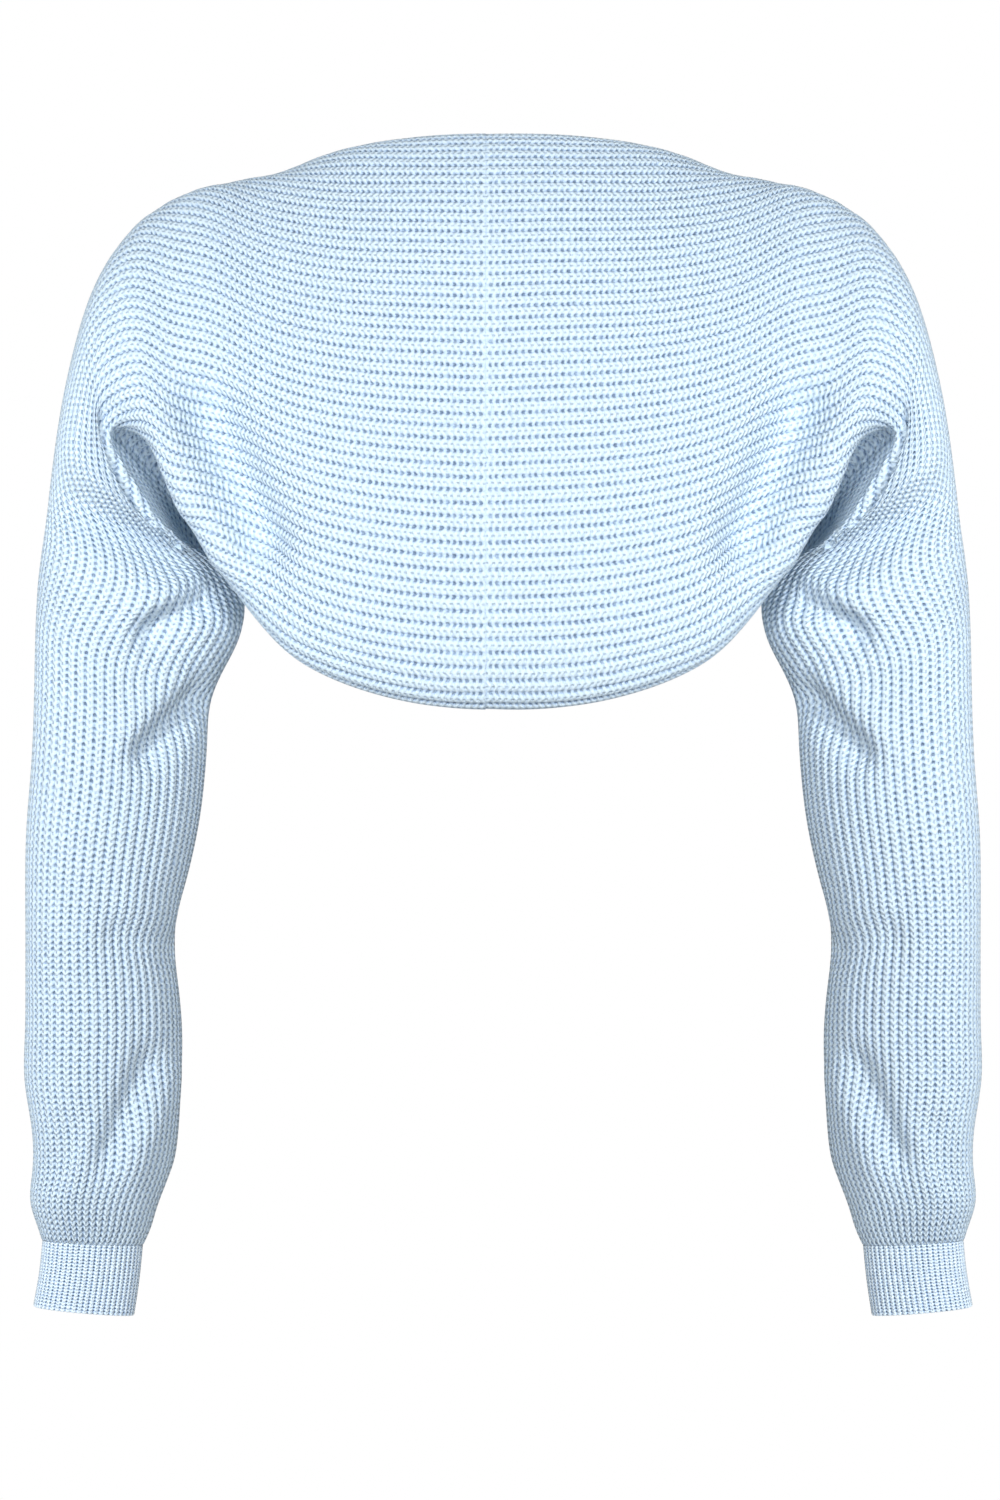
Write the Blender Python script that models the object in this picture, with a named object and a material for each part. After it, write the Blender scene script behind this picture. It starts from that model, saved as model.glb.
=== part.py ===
"""A cropped knitted shrug, worn open at the front, held in the shape it takes on a wearer.

Frame: metres in Blender, millimetres in the tables below. +Z is up, +X the right of the picture,
which shows the back of the shrug, and the wearer faces +Y. The origin lies on the middle line,
level with the tops of the shoulders, between them.

The shrug is knitted sideways in two halves, each a straight piece whose ribs run from the centre
back seam to the cuff. Past the underarm point the two long edges of a half are sewn together as a
sleeve. A section is a curve across the ribs: it starts on the neck and front edge, goes over the
shoulder, crosses the back, turns in at the hem or under the arm, and ends on the hem edge, or back
at the sleeve seam. Every tabled size is to the crests of the ribs.
"""

import bmesh
import bpy
import numpy as np

MM = 0.001

# Cloth: how many ribs lie across a half and round a cuff, how high they stand, the wall between the
# furrows and its plain inside, and the space left at each seam
RIBS = 56
RIB_HEIGHT = 1.3
WALL_AT_FURROW = 1.9
CUFF_RIBS = 52
CUFF_RIB_HEIGHT = 0.7
CUFF_WALL_AT_FURROW = 1.6
SEAM_GAP = 0.3

# Centre back seam: it sits a little to one side of the middle, and the ribs sag towards it by SAG,
# less with the distance from it over SAG_REACH
SEAM_X = -9.0
SAG = 7.0
SAG_REACH = 80.0
SAG_ROUNDING = 8.0

# How full the curves between the points of a section are, as shares of the distance they span
EDGE_LEAN = 0.35
OVER_SHOULDER = 0.45
UNDER_HEM = 0.1
RING_HANDLE = 4 / 3

# Meshing: the steps of the dense surface, of which a solid keeps two a rib outside, one for so
# many ribs inside, the row of each section that is not in SKIPPED, and one row more half way to
# the section before for those in HALVED
STEPS_PER_RIB = 8
STEPS_PER_SECTION = 16
RIBS_PER_INNER_STEP = 2
SKIPPED = ("middle", "arm_1", "arm_3", "arm_5", "elbow_2", "forearm_1", "forearm_3")
HALVED = ("shoulder_in", "shoulder_mid", "lip_top", "lip_high", "lip_mid")

# Sections of the open part, from the middle of the back to the underarm point. x is the distance
# out from the middle. outer: where the cloth turns over the top of the shoulder. edge: the neck and
# front edge. turn: where the back turns in, along the hem, up round the pocket that the spare cloth
# makes behind the armpit, and down the valley behind the pocket's lip. hem: the hem edge. front,
# back and dip: how far the cloth is carried out in front, behind, and just before the turn. lean:
# how far the back hangs over the turn. tuck: how far the cloth is carried in past the turn. rise:
# how far it comes to the hem edge from above. gather: how much closer the ribs lie at the top.
BODY = (
    # name,           outer,                 edge,                  turn,
    #                 hem,                   front, back, dip, lean, tuck, rise, gather
    ("middle",       (0.0, -46.0, 27.8),    (0.0, -35.0, 24.5),    (0.0, -82.0, -273.4),
                     (0.0, -69.0, -267.0),  3.0, 51.0, 51.0, 0.0, 6.0, 0.0, 0.16),
    ("nape",         (52.4, -38.0, 26.2),   (50.0, -26.0, 21.5),   (51.7, -80.0, -269.0),
                     (50.5, -66.0, -262.0),  4.0, 52.0, 52.0, 0.0, 6.0, 0.0, 0.15),
    ("neck_side",    (94.8, -21.0, 18.9),   (88.0, 1.0, 10.0),     (98.5, -71.0, -252.5),
                     (97.0, -56.0, -245.0),  6.0, 52.0, 52.0, 0.0, 7.0, 0.0, 0.12),
    ("shoulder_in",  (132.0, -9.0, 8.4),    (111.0, 33.0, -8.0),   (124.5, -61.0, -231.0),
                     (122.0, -42.0, -226.0),  12.0, 50.0, 50.0, 0.0, 8.0, 0.0, 0.08),
    ("shoulder_mid", (156.0, -3.0, 4.5),    (125.0, 51.0, -30.0),  (152.5, -57.0, -196.0),
                     (133.5, -31.0, -217.0),  18.0, 46.0, 44.0, 0.0, 13.0, 5.0, 0.04),
    ("shoulder_out", (175.0, 0.0, -2.4),    (134.0, 60.0, -51.0),  (169.0, -55.0, -170.0),
                     (136.5, -20.0, -208.0),  22.0, 46.0, 40.0, 0.0, 16.0, 10.0, 0.0),
    ("pocket_in",    (190.0, 0.0, -12.0),   (141.0, 65.0, -72.0),  (178.0, -53.0, -149.0),
                     (140.0, -8.0, -197.0),  25.0, 46.0, 36.0, 0.0, 17.0, 14.0, 0.0),
    ("pocket_top",   (203.0, 0.0, -26.0),   (146.0, 67.0, -90.0),  (188.5, -48.0, -131.0),
                     (145.5, 0.0, -188.0),  26.0, 48.0, 32.0, 0.0, 20.0, 20.0, 0.0),
    ("lip_top",      (216.0, 0.0, -48.0),   (150.0, 68.0, -106.0), (193.0, -40.0, -130.0),
                     (151.0, 13.0, -182.0),  28.0, 54.0, 26.0, 4.0, 20.0, 14.0, 0.0),
    ("lip_high",     (227.0, 0.0, -82.0),   (153.5, 67.0, -124.0), (184.5, -35.0, -143.0),
                     (155.0, 20.0, -180.0),  28.0, 64.0, 20.0, 10.0, 16.0, 6.0, 0.0),
    ("lip_mid",      (233.5, 0.0, -112.0),  (157.0, 64.0, -142.0), (171.5, -30.0, -159.0),
                     (157.0, 27.0, -185.0),  28.0, 78.0, 14.0, 12.0, 14.0, -4.0, 0.0),
    ("lip_low",      (237.5, 0.0, -138.0),  (159.5, 59.0, -160.0), (159.5, -21.0, -176.0),
                     (158.8, 32.0, -193.0),  27.0, 85.0, 12.0, 10.0, 16.0, -6.0, 0.0),
    ("lip_end",      (240.5, 0.0, -161.0),  (161.0, 53.0, -181.0), (144.0, -9.0, -200.0),
                     (160.0, 37.0, -205.0),  26.0, 80.0, 18.0, 4.0, 20.0, -8.0, 0.0),
)

# Sections of the sleeve, from the underarm point to the cuff: the outer and inner points seen from
# behind, the depth of the middle, how far the cloth stands out behind and in front of it, and the
# share of the way round the front, from the inner point, at which the sleeve seam lies.
SLEEVE = (
    # name,           outer (x, z),      inner (x, z),      middle, back, front, seam
    ("underarm",     (243.5, -185.0),   (137.8, -227.0),   -2.0,   57.0, 54.0, 0.30),
    ("arm_1",        (246.0, -205.0),   (145.0, -246.0),   -2.0,   57.0, 56.0, 0.28),
    ("arm_2",        (247.2, -226.0),   (154.5, -267.0),   -2.0,   57.0, 58.0, 0.26),
    ("arm_3",        (247.7, -248.0),   (156.7, -288.0),   -3.0,   57.0, 59.0, 0.25),
    ("arm_4",        (248.2, -275.0),   (158.0, -308.0),   -4.0,   57.0, 59.0, 0.25),
    ("arm_5",        (249.6, -304.0),   (160.0, -326.0),   -4.0,   56.0, 58.0, 0.25),
    ("elbow_1",      (252.0, -333.0),   (163.5, -345.0),   -2.0,   56.0, 57.0, 0.25),
    ("elbow_2",      (253.0, -362.0),   (169.0, -367.0),   1.0,    54.0, 55.0, 0.25),
    ("elbow_3",      (253.3, -392.0),   (174.4, -392.0),   6.0,    53.0, 53.0, 0.25),
    ("forearm_1",    (253.8, -418.0),   (173.0, -418.0),   12.0,   52.0, 51.0, 0.25),
    ("forearm_2",    (254.6, -444.0),   (171.2, -444.0),   19.0,   52.0, 49.0, 0.25),
    ("forearm_3",    (255.4, -470.0),   (172.0, -470.0),   26.0,   51.0, 48.0, 0.25),
    ("forearm_4",    (252.2, -496.0),   (173.8, -496.0),   33.0,   49.0, 46.0, 0.25),
    ("forearm_5",    (252.4, -520.0),   (178.4, -520.0),   40.0,   45.0, 43.0, 0.25),
    ("blouse",       (253.6, -538.0),   (186.0, -540.0),   45.0,   39.0, 38.0, 0.25),
    ("gather",       (250.4, -550.0),   (190.0, -552.5),   49.0,   32.0, 32.0, 0.25),
    ("sleeve_end",   (248.4, -557.0),   (193.4, -560.0),   51.0,   27.0, 27.0, 0.25),
)

# Sections of a cuff, in the same columns
CUFF = (
    ("cuff_top",     (247.9, -557.4),   (193.9, -560.4),   51.2,   25.6, 25.6, 0.25),
    ("cuff_middle",  (250.0, -574.8),   (196.0, -579.0),   56.2,   25.0, 25.0, 0.25),
    ("cuff_end",     (253.6, -593.5),   (199.2, -599.0),   61.8,   25.6, 25.6, 0.25),
)

# Folds: troughs pressed into the cloth along a straight line seen from behind, and the ridge that
# stands beside each, on its left as one goes from the first end to the second, RIDGE_AT widths out.
# A fold keeps its depth over the middle FOLD_BODY of its line and dies away over FOLD_TAIL past it.
# Those behind fade out over the last FOLDS_FADE of a section before the share FOLDS_END_AT of it,
# where the cloth turns in.
RIDGE_AT = 1.4
FOLD_BODY = 0.7
FOLD_TAIL = 0.19
FOLDS_END_AT = 0.76
FOLDS_FADE = 0.08
FOLDS = (
    # name,              face,    from (x, z),       to (x, z),         depth, ridge, width
    ("lip_crease",       "back",  (176.0, -191.0),   (209.0, -148.0),    5.0,   2.0,  10.0),
    ("blade_hollow",     "back",  (175.0, -112.0),   (118.0, -172.0),    3.5,   2.5,  17.0),
    ("underarm_crease",  "back",  (160.0, -213.0),   (191.0, -232.0),    5.0,   2.5,  10.0),
    ("upper_arm_fold",   "back",  (156.0, -264.0),   (188.0, -300.0),    5.0,   3.0,   9.0),
    ("elbow_crease",     "back",  (172.0, -402.0),   (208.0, -390.0),    4.0,   2.0,  11.0),
    ("forearm_fold",     "back",  (180.0, -480.0),   (194.0, -522.0),    3.0,   2.0,   9.0),
    ("wrist_fold",       "back",  (240.0, -528.0),   (226.0, -490.0),    2.5,   1.5,   8.0),
    ("front_drag",       "front", (232.0, -215.0),   (176.0, -246.0),    3.0,   2.0,  12.0),
    ("inner_elbow_high", "front", (238.0, -366.0),   (176.0, -380.0),    2.5,   2.0,  10.0),
    ("inner_elbow_low",  "front", (236.0, -398.0),   (182.0, -412.0),    2.0,   2.0,  10.0),
    ("front_wrist",      "front", (186.0, -524.0),   (200.0, -490.0),    2.5,   1.5,   8.0),
)


def cubic(knots, points, at):
    """Natural cubic spline through points (one row per knot), read at the places at."""
    count = len(knots)
    step = np.diff(knots)
    flat = points.reshape(count, -1)
    slope = np.diff(flat, axis=0) / step[:, None]
    matrix = np.eye(count)
    right = np.zeros_like(flat)
    for i in range(1, count - 1):
        matrix[i, i - 1:i + 2] = step[i - 1], 2 * (step[i - 1] + step[i]), step[i]
        right[i] = 6 * (slope[i] - slope[i - 1])
    bend = np.linalg.solve(matrix, right)
    k = np.clip(np.searchsorted(knots, at, side="right") - 1, 0, count - 2)
    h = step[k][:, None]
    a = (knots[k + 1] - at)[:, None] / h
    b = 1 - a
    curve = a * flat[k] + b * flat[k + 1]
    curve += ((a**3 - a) * bend[k] + (b**3 - b) * bend[k + 1]) * h**2 / 6
    return curve.reshape((len(at),) + points.shape[1:])


def bezier(a, b, c, d, steps=60):
    """Points of the cubic Bezier curve with end points a, d and handles b, c."""
    t = np.linspace(0, 1, steps)[:, None]
    s = 1 - t
    return s**3 * a + 3 * s * s * t * b + 3 * s * t * t * c + t**3 * d


def depth(length):
    """A vector of that length along Y."""
    return np.array([0.0, length, 0.0])


def body_curve(row):
    """The curve of one open section, and how much closer its ribs lie at the top."""
    _, outer, edge, turn, hem, front, back, dip, lean, tuck, rise, gather = row
    outer, edge, turn, hem = (np.array(p, float) for p in (outer, edge, turn, hem))
    over = np.linalg.norm(outer - edge)
    under = np.linalg.norm(turn - hem)
    from_edge = edge + EDGE_LEAN * (outer - edge) + depth(front)
    to_hem = hem + EDGE_LEAN * (turn - hem) + (0, UNDER_HEM * under, rise)
    parts = (
        bezier(edge, from_edge, outer + depth(OVER_SHOULDER * over), outer),
        bezier(outer, outer - depth(back), turn + (lean, -dip, 0), turn),
        bezier(turn, turn + (-lean * tuck / dip, tuck, 0), to_hem, hem),
    )
    return np.concatenate([parts[0], parts[1][1:], parts[2][1:]]), gather


def ring_curve(row):
    """The closed curve of one sleeve or cuff section, from its seam round the front and back to it."""
    _, (outer_x, outer_z), (inner_x, inner_z), middle, back, front, seam = row
    outer = np.array([outer_x, middle, outer_z])
    inner = np.array([inner_x, middle, inner_z])
    behind, before = depth(RING_HANDLE * back), depth(RING_HANDLE * front)
    rear = bezier(outer, outer - behind, inner - behind, inner)
    ahead = bezier(inner, inner + before, outer + before, outer)
    start = int(round(seam * (len(ahead) - 1)))
    return np.concatenate([ahead[start:], rear[1:], ahead[1:start + 1]]), 0.0


def spaced(curve, gather, shares):
    """Points along a curve at these shares of its length, closer together at its start by gather."""
    length = np.concatenate([[0], np.cumsum(np.linalg.norm(np.diff(curve, axis=0), axis=1))])
    along = (shares - gather * shares * (1 - shares)) * length[-1]
    return np.stack([np.interp(along, length, curve[:, k]) for k in range(3)], axis=1)


def dense_surface(curves, ribs, mirrored_start):
    """A dense grid of points, one row per step from section to section, through all the sections."""
    shares = np.linspace(0, 1, ribs * STEPS_PER_RIB + 1)
    rows = np.array([spaced(curve, gather, shares) for curve, gather in curves])
    if mirrored_start:
        rows = np.concatenate([rows[1:2] * (-1, 1, 1), rows])
    strides = np.linalg.norm(np.diff(rows, axis=0), axis=2)
    knots = np.concatenate([[0], np.cumsum(np.median(strides, axis=1))])
    spans = [np.linspace(a, b, STEPS_PER_SECTION, endpoint=False) for a, b in zip(knots, knots[1:])]
    return cubic(knots, rows, np.append(np.concatenate(spans), knots[-1]))


def normals_of(grid, sewn_from):
    """Unit normals of a grid of points, towards the right side of the cloth."""
    along, across = np.gradient(grid, axis=0), np.gradient(grid, axis=1)
    ring = (grid[sewn_from:, 1] - grid[sewn_from:, -2]) / 2
    across[sewn_from:, 0], across[sewn_from:, -1] = ring, ring
    normal = np.cross(across, along)
    return normal / np.maximum(np.linalg.norm(normal, axis=2, keepdims=True), 1e-9)


def sewn_up(grid, sewn_from):
    """The surface with its two long edges brought exactly together from the row sewn_from on."""
    share = np.linspace(-0.5, 0.5, grid.shape[1])[:, None]
    grid[sewn_from:] -= share * (grid[sewn_from:, -1:] - grid[sewn_from:, :1])
    return grid


def folded(grid, sewn_from):
    """The surface with its folds: each is a trough along a line, with a soft ridge beside it."""
    normal = normals_of(grid, sewn_from)
    push = np.zeros(grid.shape[:2])
    seen = grid[..., [0, 2]]
    share = np.linspace(0, 1, grid.shape[1])
    before_turn = np.clip((FOLDS_END_AT - share) / FOLDS_FADE, 0, 1)
    for _, face, start, end, deep, ridge, width in FOLDS:
        start, end = np.array(start), np.array(end)
        run = np.linalg.norm(end - start)
        way = (end - start) / run
        along = (seen - start) @ way / run
        across = (seen - start) @ np.array([-way[1], way[0]]) / width
        ends = np.exp(-(np.clip(np.abs(along - 0.5) - FOLD_BODY / 2, 0, None) / FOLD_TAIL) ** 2)
        if face == "back":
            shown = np.sqrt(np.clip(-normal[..., 1], 0, 1)) * before_turn
        else:
            shown = np.sqrt(np.clip(normal[..., 1], 0, 1))
        push += ends * shown * (ridge * np.exp(-(across - RIDGE_AT) ** 2) - deep * np.exp(-across**2))
    return grid + push[..., None] * normal


def half_surface(seam_x):
    """A half from the centre back seam at seam_x out to the cuff, on the side where x is positive.
    Gives its dense surface, the row where the sleeve closes, and the rows a solid keeps."""
    names = [row[0] for row in BODY + SLEEVE]
    curves = [body_curve(row) for row in BODY] + [ring_curve(row) for row in SLEEVE]
    sewn_from = (len(BODY) + 1) * STEPS_PER_SECTION
    grid = sewn_up(dense_surface(curves, RIBS, mirrored_start=True), sewn_from)
    grid = folded(grid, sewn_from)
    first = int(np.argmax(grid[:, grid.shape[1] // 2, 0] > seam_x + 1.0)) - 1
    grid = grid[first:]
    grid[0, :, 0] = seam_x
    share = np.linspace(0, 1, grid.shape[1])
    near = np.exp(-np.hypot(grid[..., 0] - seam_x, SAG_ROUNDING) / SAG_REACH)
    down = np.gradient(grid, axis=1)
    down /= np.linalg.norm(down, axis=2, keepdims=True)
    down[..., 0] = 0
    grid = grid + (SAG * np.sin(np.pi * share) * near)[..., None] * down
    kept = [i + 1 for i, name in enumerate(names) if name not in SKIPPED]
    kept += [names.index(name) + 0.5 for name in HALVED]
    rows = sorted(int(place * STEPS_PER_SECTION) - first for place in kept)
    return grid, sewn_from - first, [0] + rows


def cuff_surface():
    """A cuff on the side where x is positive, closed all the way, and the rows a solid keeps."""
    grid = sewn_up(dense_surface([ring_curve(row) for row in CUFF], CUFF_RIBS, mirrored_start=False), 0)
    return grid, 0, [i * STEPS_PER_SECTION for i in range(len(CUFF))]


def wall_object(name, surface, side, ribs, rib_height, wall, material):
    """A closed wall: ribs raised on the outside, a plain inside, and a rim along every free edge.
    From the row sewn_from on, the first and last points across are one, and the wall is a tube."""
    grid, sewn_from, rows = surface
    normal = normals_of(grid, sewn_from)
    furrow = 0.5 + 0.5 * np.cos(2 * np.pi * np.linspace(0, ribs, grid.shape[1]))
    outer = grid - normal * (rib_height * furrow)[None, :, None]
    inner = grid - normal * (rib_height + wall)
    mesh = bmesh.new()

    def lay(points, step):
        laid = []
        for row in rows:
            ring = row >= sewn_from
            columns = range(0, grid.shape[1] - ring, step)
            line = [mesh.verts.new(points[row, column] * (side * MM, MM, MM)) for column in columns]
            laid.append(line + line[:1] if ring else line)
        return laid

    def cover(*corners):
        mesh.faces.new([v for i, v in enumerate(corners) if v not in corners[:i]])

    shell = lay(outer, STEPS_PER_RIB // 2)
    lining = lay(inner, STEPS_PER_RIB * RIBS_PER_INNER_STEP)
    for sheet in (shell, lining):
        for line, following in zip(sheet, sheet[1:]):
            for a, b, c, d in zip(line, line[1:], following[1:], following):
                cover(a, b, c, d)
    for edge in (0, -1):
        for i in range(len(rows) - 1):
            if rows[i] < sewn_from:
                cover(shell[i][edge], shell[i + 1][edge], lining[i + 1][edge], lining[i][edge])
    per_inner = 2 * RIBS_PER_INNER_STEP
    for end in (0, -1):
        for j in range(len(lining[end]) - 1):
            rim = shell[end][j * per_inner:(j + 1) * per_inner + 1]
            for k in range(per_inner):
                cover(lining[end][j + (k >= per_inner // 2)], rim[k + 1], rim[k])
            cover(lining[end][j], lining[end][j + 1], rim[per_inner // 2])
    bmesh.ops.recalc_face_normals(mesh, faces=mesh.faces)
    bmesh.ops.triangulate(mesh, faces=mesh.faces)
    data = bpy.data.meshes.new(name)
    mesh.to_mesh(data)
    mesh.free()
    data.materials.append(material)
    made = bpy.data.objects.new(name, data)
    bpy.context.scene.collection.objects.link(made)
    return made


def knit_material(name, colour, roughness):
    """A plain woollen surface of that sRGB colour."""
    made = bpy.data.materials.new(name)
    made.use_nodes = True
    shader = made.node_tree.nodes["Principled BSDF"]
    linear = [((channel / 255 + 0.055) / 1.055) ** 2.4 for channel in colour]
    shader.inputs["Base Color"].default_value = (*linear, 1)
    shader.inputs["Roughness"].default_value = roughness
    return made


for old in list(bpy.data.objects):
    bpy.data.objects.remove(old)

body_knit = knit_material("chunky_rib_knit", (176, 205, 236), 0.9)
cuff_knit = knit_material("fine_rib_knit", (164, 194, 228), 0.9)
for side, word, seam_x in ((-1, "left", -SEAM_X), (1, "right", SEAM_X)):
    half = half_surface(seam_x + SEAM_GAP / 2)
    cuff = cuff_surface()
    wall_object(f"{word}_half", half, side, RIBS, RIB_HEIGHT, WALL_AT_FURROW, body_knit)
    wall_object(f"{word}_cuff", cuff, side, CUFF_RIBS, CUFF_RIB_HEIGHT, CUFF_WALL_AT_FURROW, cuff_knit)
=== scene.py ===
"""The knitted shrug as it shows in its picture: chunky rib knit halves and fine rib cuffs.

Each piece is a thin closed shell on the form of its CAD node, worked out again here on a finer grid,
with rounded ribs, the lip of each pocket and the smaller folds. Tables are in millimetres in the
frame of the CAD: +X is the right of the picture, which shows the back, +Z is up, and the open front
faces +Y. The single stitches are too many to raise, so the materials draw them along each rib, with
shade painted on the flanks, between the stitches and in the holes and gaps.
"""

import math

import bmesh
import bpy
import numpy as np
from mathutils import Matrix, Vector


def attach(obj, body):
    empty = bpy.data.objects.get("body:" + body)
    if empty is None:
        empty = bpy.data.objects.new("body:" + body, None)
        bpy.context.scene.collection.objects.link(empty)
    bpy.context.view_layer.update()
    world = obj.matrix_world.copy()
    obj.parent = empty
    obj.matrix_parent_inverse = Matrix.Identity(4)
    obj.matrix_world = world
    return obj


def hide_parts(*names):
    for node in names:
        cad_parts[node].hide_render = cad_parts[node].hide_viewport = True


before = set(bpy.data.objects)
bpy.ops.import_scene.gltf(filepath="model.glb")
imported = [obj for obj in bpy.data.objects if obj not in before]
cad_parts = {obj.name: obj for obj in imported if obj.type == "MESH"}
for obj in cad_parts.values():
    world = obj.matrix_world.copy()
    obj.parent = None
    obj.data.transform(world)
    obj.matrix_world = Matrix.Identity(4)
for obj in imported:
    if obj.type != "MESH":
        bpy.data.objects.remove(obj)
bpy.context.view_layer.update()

MM = 0.001

# Cloth, as the CAD has it: ribs across a half and round a cuff, and the wall from the crest of a
# rib to the inside
HALF_RIBS = 56
CUFF_RIBS = 52
HALF_WALL = 3.2
CUFF_WALL = 2.3

# How far the furrows lie below the crests, outside and inside, and how broad a crest is: the power
# of the distance from the middle of the rib with which it falls
HALF_RELIEF = 1.2
CUFF_RELIEF = 0.9
INSIDE_RELIEF = 0.7
HALF_CREST_POWER = 2.6
CUFF_CREST_POWER = 2.0

# Stitches: how far apart they lie along a rib
HALF_STITCH = 3.4
CUFF_STITCH = 1.9

# The centre back seam: where it lies, the gap between the halves there and the least distance of the
# first whole row from it; how far the ribs sag towards it, the reach of the sag and the breadth of its
# lowest point; and the distance within which the furrows are flatter, and by what share
SEAM_X = -9.0
SEAM_GAP = 0.04
FIRST_ROW_AT = 1.0
SAG = 7.0
SAG_REACH = 80.0
SAG_ROUNDING = 8.0
SEAM_FADE = 2.0
SEAM_FLATNESS = 0.5

# How full the curves between the points of a section are, as shares of the distance they span, and
# those of a ring as shares of its depth: INNER_FULLNESS is how much of it is left at the back of the
# inner side, where the cloth lies flatter than in the CAD
EDGE_LEAN = 0.35
OVER_SHOULDER = 0.45
UNDER_HEM = 0.1
RING_HANDLE = 4 / 3
INNER_FULLNESS = 0.6

# Meshing: steps across a rib outside, of which the inside keeps every second, the most that two
# rows lie apart, the points of a rounded edge between its outside and its inside, and the bend from
# which on two faces meet in a sharp edge
PER_RIB = 6
INSIDE_STEP = 2
ROW_STEP = 4.7
CUFF_ROW_STEP = 2.0
EDGE_POINTS = 3
SHARPEST_BEND = math.radians(65)

# Sections of the open part, from the middle of the back to the underarm point: as in the CAD, but the
# ribs lie closer at the top of the first four, and the rows of the lip turn in farther out and deeper
BODY = (
    # name,           outer,                 edge,                  turn,
    #                 hem,                   front, back, dip, lean, tuck, rise, gather
    ("middle",       (0.0, -46.0, 27.8),    (0.0, -35.0, 24.5),    (0.0, -82.0, -273.4),
                     (0.0, -69.0, -267.0),  3.0, 51.0, 51.0, 0.0, 6.0, 0.0, 0.28),
    ("nape",         (52.4, -38.0, 26.2),   (50.0, -26.0, 21.5),   (51.7, -80.0, -269.0),
                     (50.5, -66.0, -262.0),  4.0, 52.0, 52.0, 0.0, 6.0, 0.0, 0.25),
    ("neck_side",    (94.8, -21.0, 18.9),   (88.0, 1.0, 10.0),     (98.5, -71.0, -252.5),
                     (97.0, -56.0, -245.0),  6.0, 52.0, 52.0, 0.0, 7.0, 0.0, 0.18),
    ("shoulder_in",  (132.0, -9.0, 8.4),    (111.0, 33.0, -8.0),   (124.5, -61.0, -231.0),
                     (122.0, -42.0, -226.0),  12.0, 50.0, 50.0, 0.0, 8.0, 0.0, 0.1),
    ("shoulder_mid", (156.0, -3.0, 4.5),    (125.0, 51.0, -30.0),  (152.5, -57.0, -196.0),
                     (133.5, -31.0, -217.0),  18.0, 46.0, 44.0, 0.0, 13.0, 5.0, 0.04),
    ("shoulder_out", (175.0, 0.0, -2.4),    (134.0, 60.0, -51.0),  (169.0, -55.0, -170.0),
                     (136.5, -20.0, -208.0),  22.0, 46.0, 40.0, 0.0, 16.0, 10.0, 0.0),
    ("pocket_in",    (190.0, 0.0, -12.0),   (141.0, 65.0, -72.0),  (178.0, -53.0, -149.0),
                     (140.0, -8.0, -197.0),  25.0, 46.0, 36.0, 0.0, 17.0, 14.0, 0.0),
    ("pocket_top",   (203.0, 0.0, -26.0),   (146.0, 67.0, -90.0),  (188.5, -48.0, -131.0),
                     (145.5, 0.0, -188.0),  26.0, 48.0, 32.0, 0.0, 20.0, 20.0, 0.0),
    ("lip_top",      (216.0, 0.0, -48.0),   (150.0, 68.0, -106.0), (203.0, -42.0, -127.0),
                     (151.0, 13.0, -182.0),  28.0, 54.0, 26.0, 4.0, 30.0, 14.0, 0.0),
    ("lip_high",     (227.0, 0.0, -82.0),   (153.5, 67.0, -124.0), (201.0, -40.0, -143.0),
                     (155.0, 20.0, -180.0),  28.0, 64.0, 20.0, 5.0, 30.0, 6.0, 0.0),
    ("lip_mid",      (233.5, 0.0, -112.0),  (157.0, 64.0, -142.0), (189.0, -36.0, -161.0),
                     (157.0, 27.0, -185.0),  28.0, 78.0, 16.0, 5.0, 28.0, -4.0, 0.0),
    ("lip_low",      (237.5, 0.0, -138.0),  (159.5, 59.0, -160.0), (174.0, -29.0, -180.0),
                     (158.8, 32.0, -193.0),  27.0, 85.0, 14.0, 5.0, 24.0, -6.0, 0.0),
    ("lip_end",      (240.5, 0.0, -161.0),  (161.0, 53.0, -181.0), (145.0, -4.0, -200.0),
                     (160.0, 37.0, -205.0),  26.0, 77.0, 13.0, 4.0, 18.0, -8.0, 0.0),
)

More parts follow.
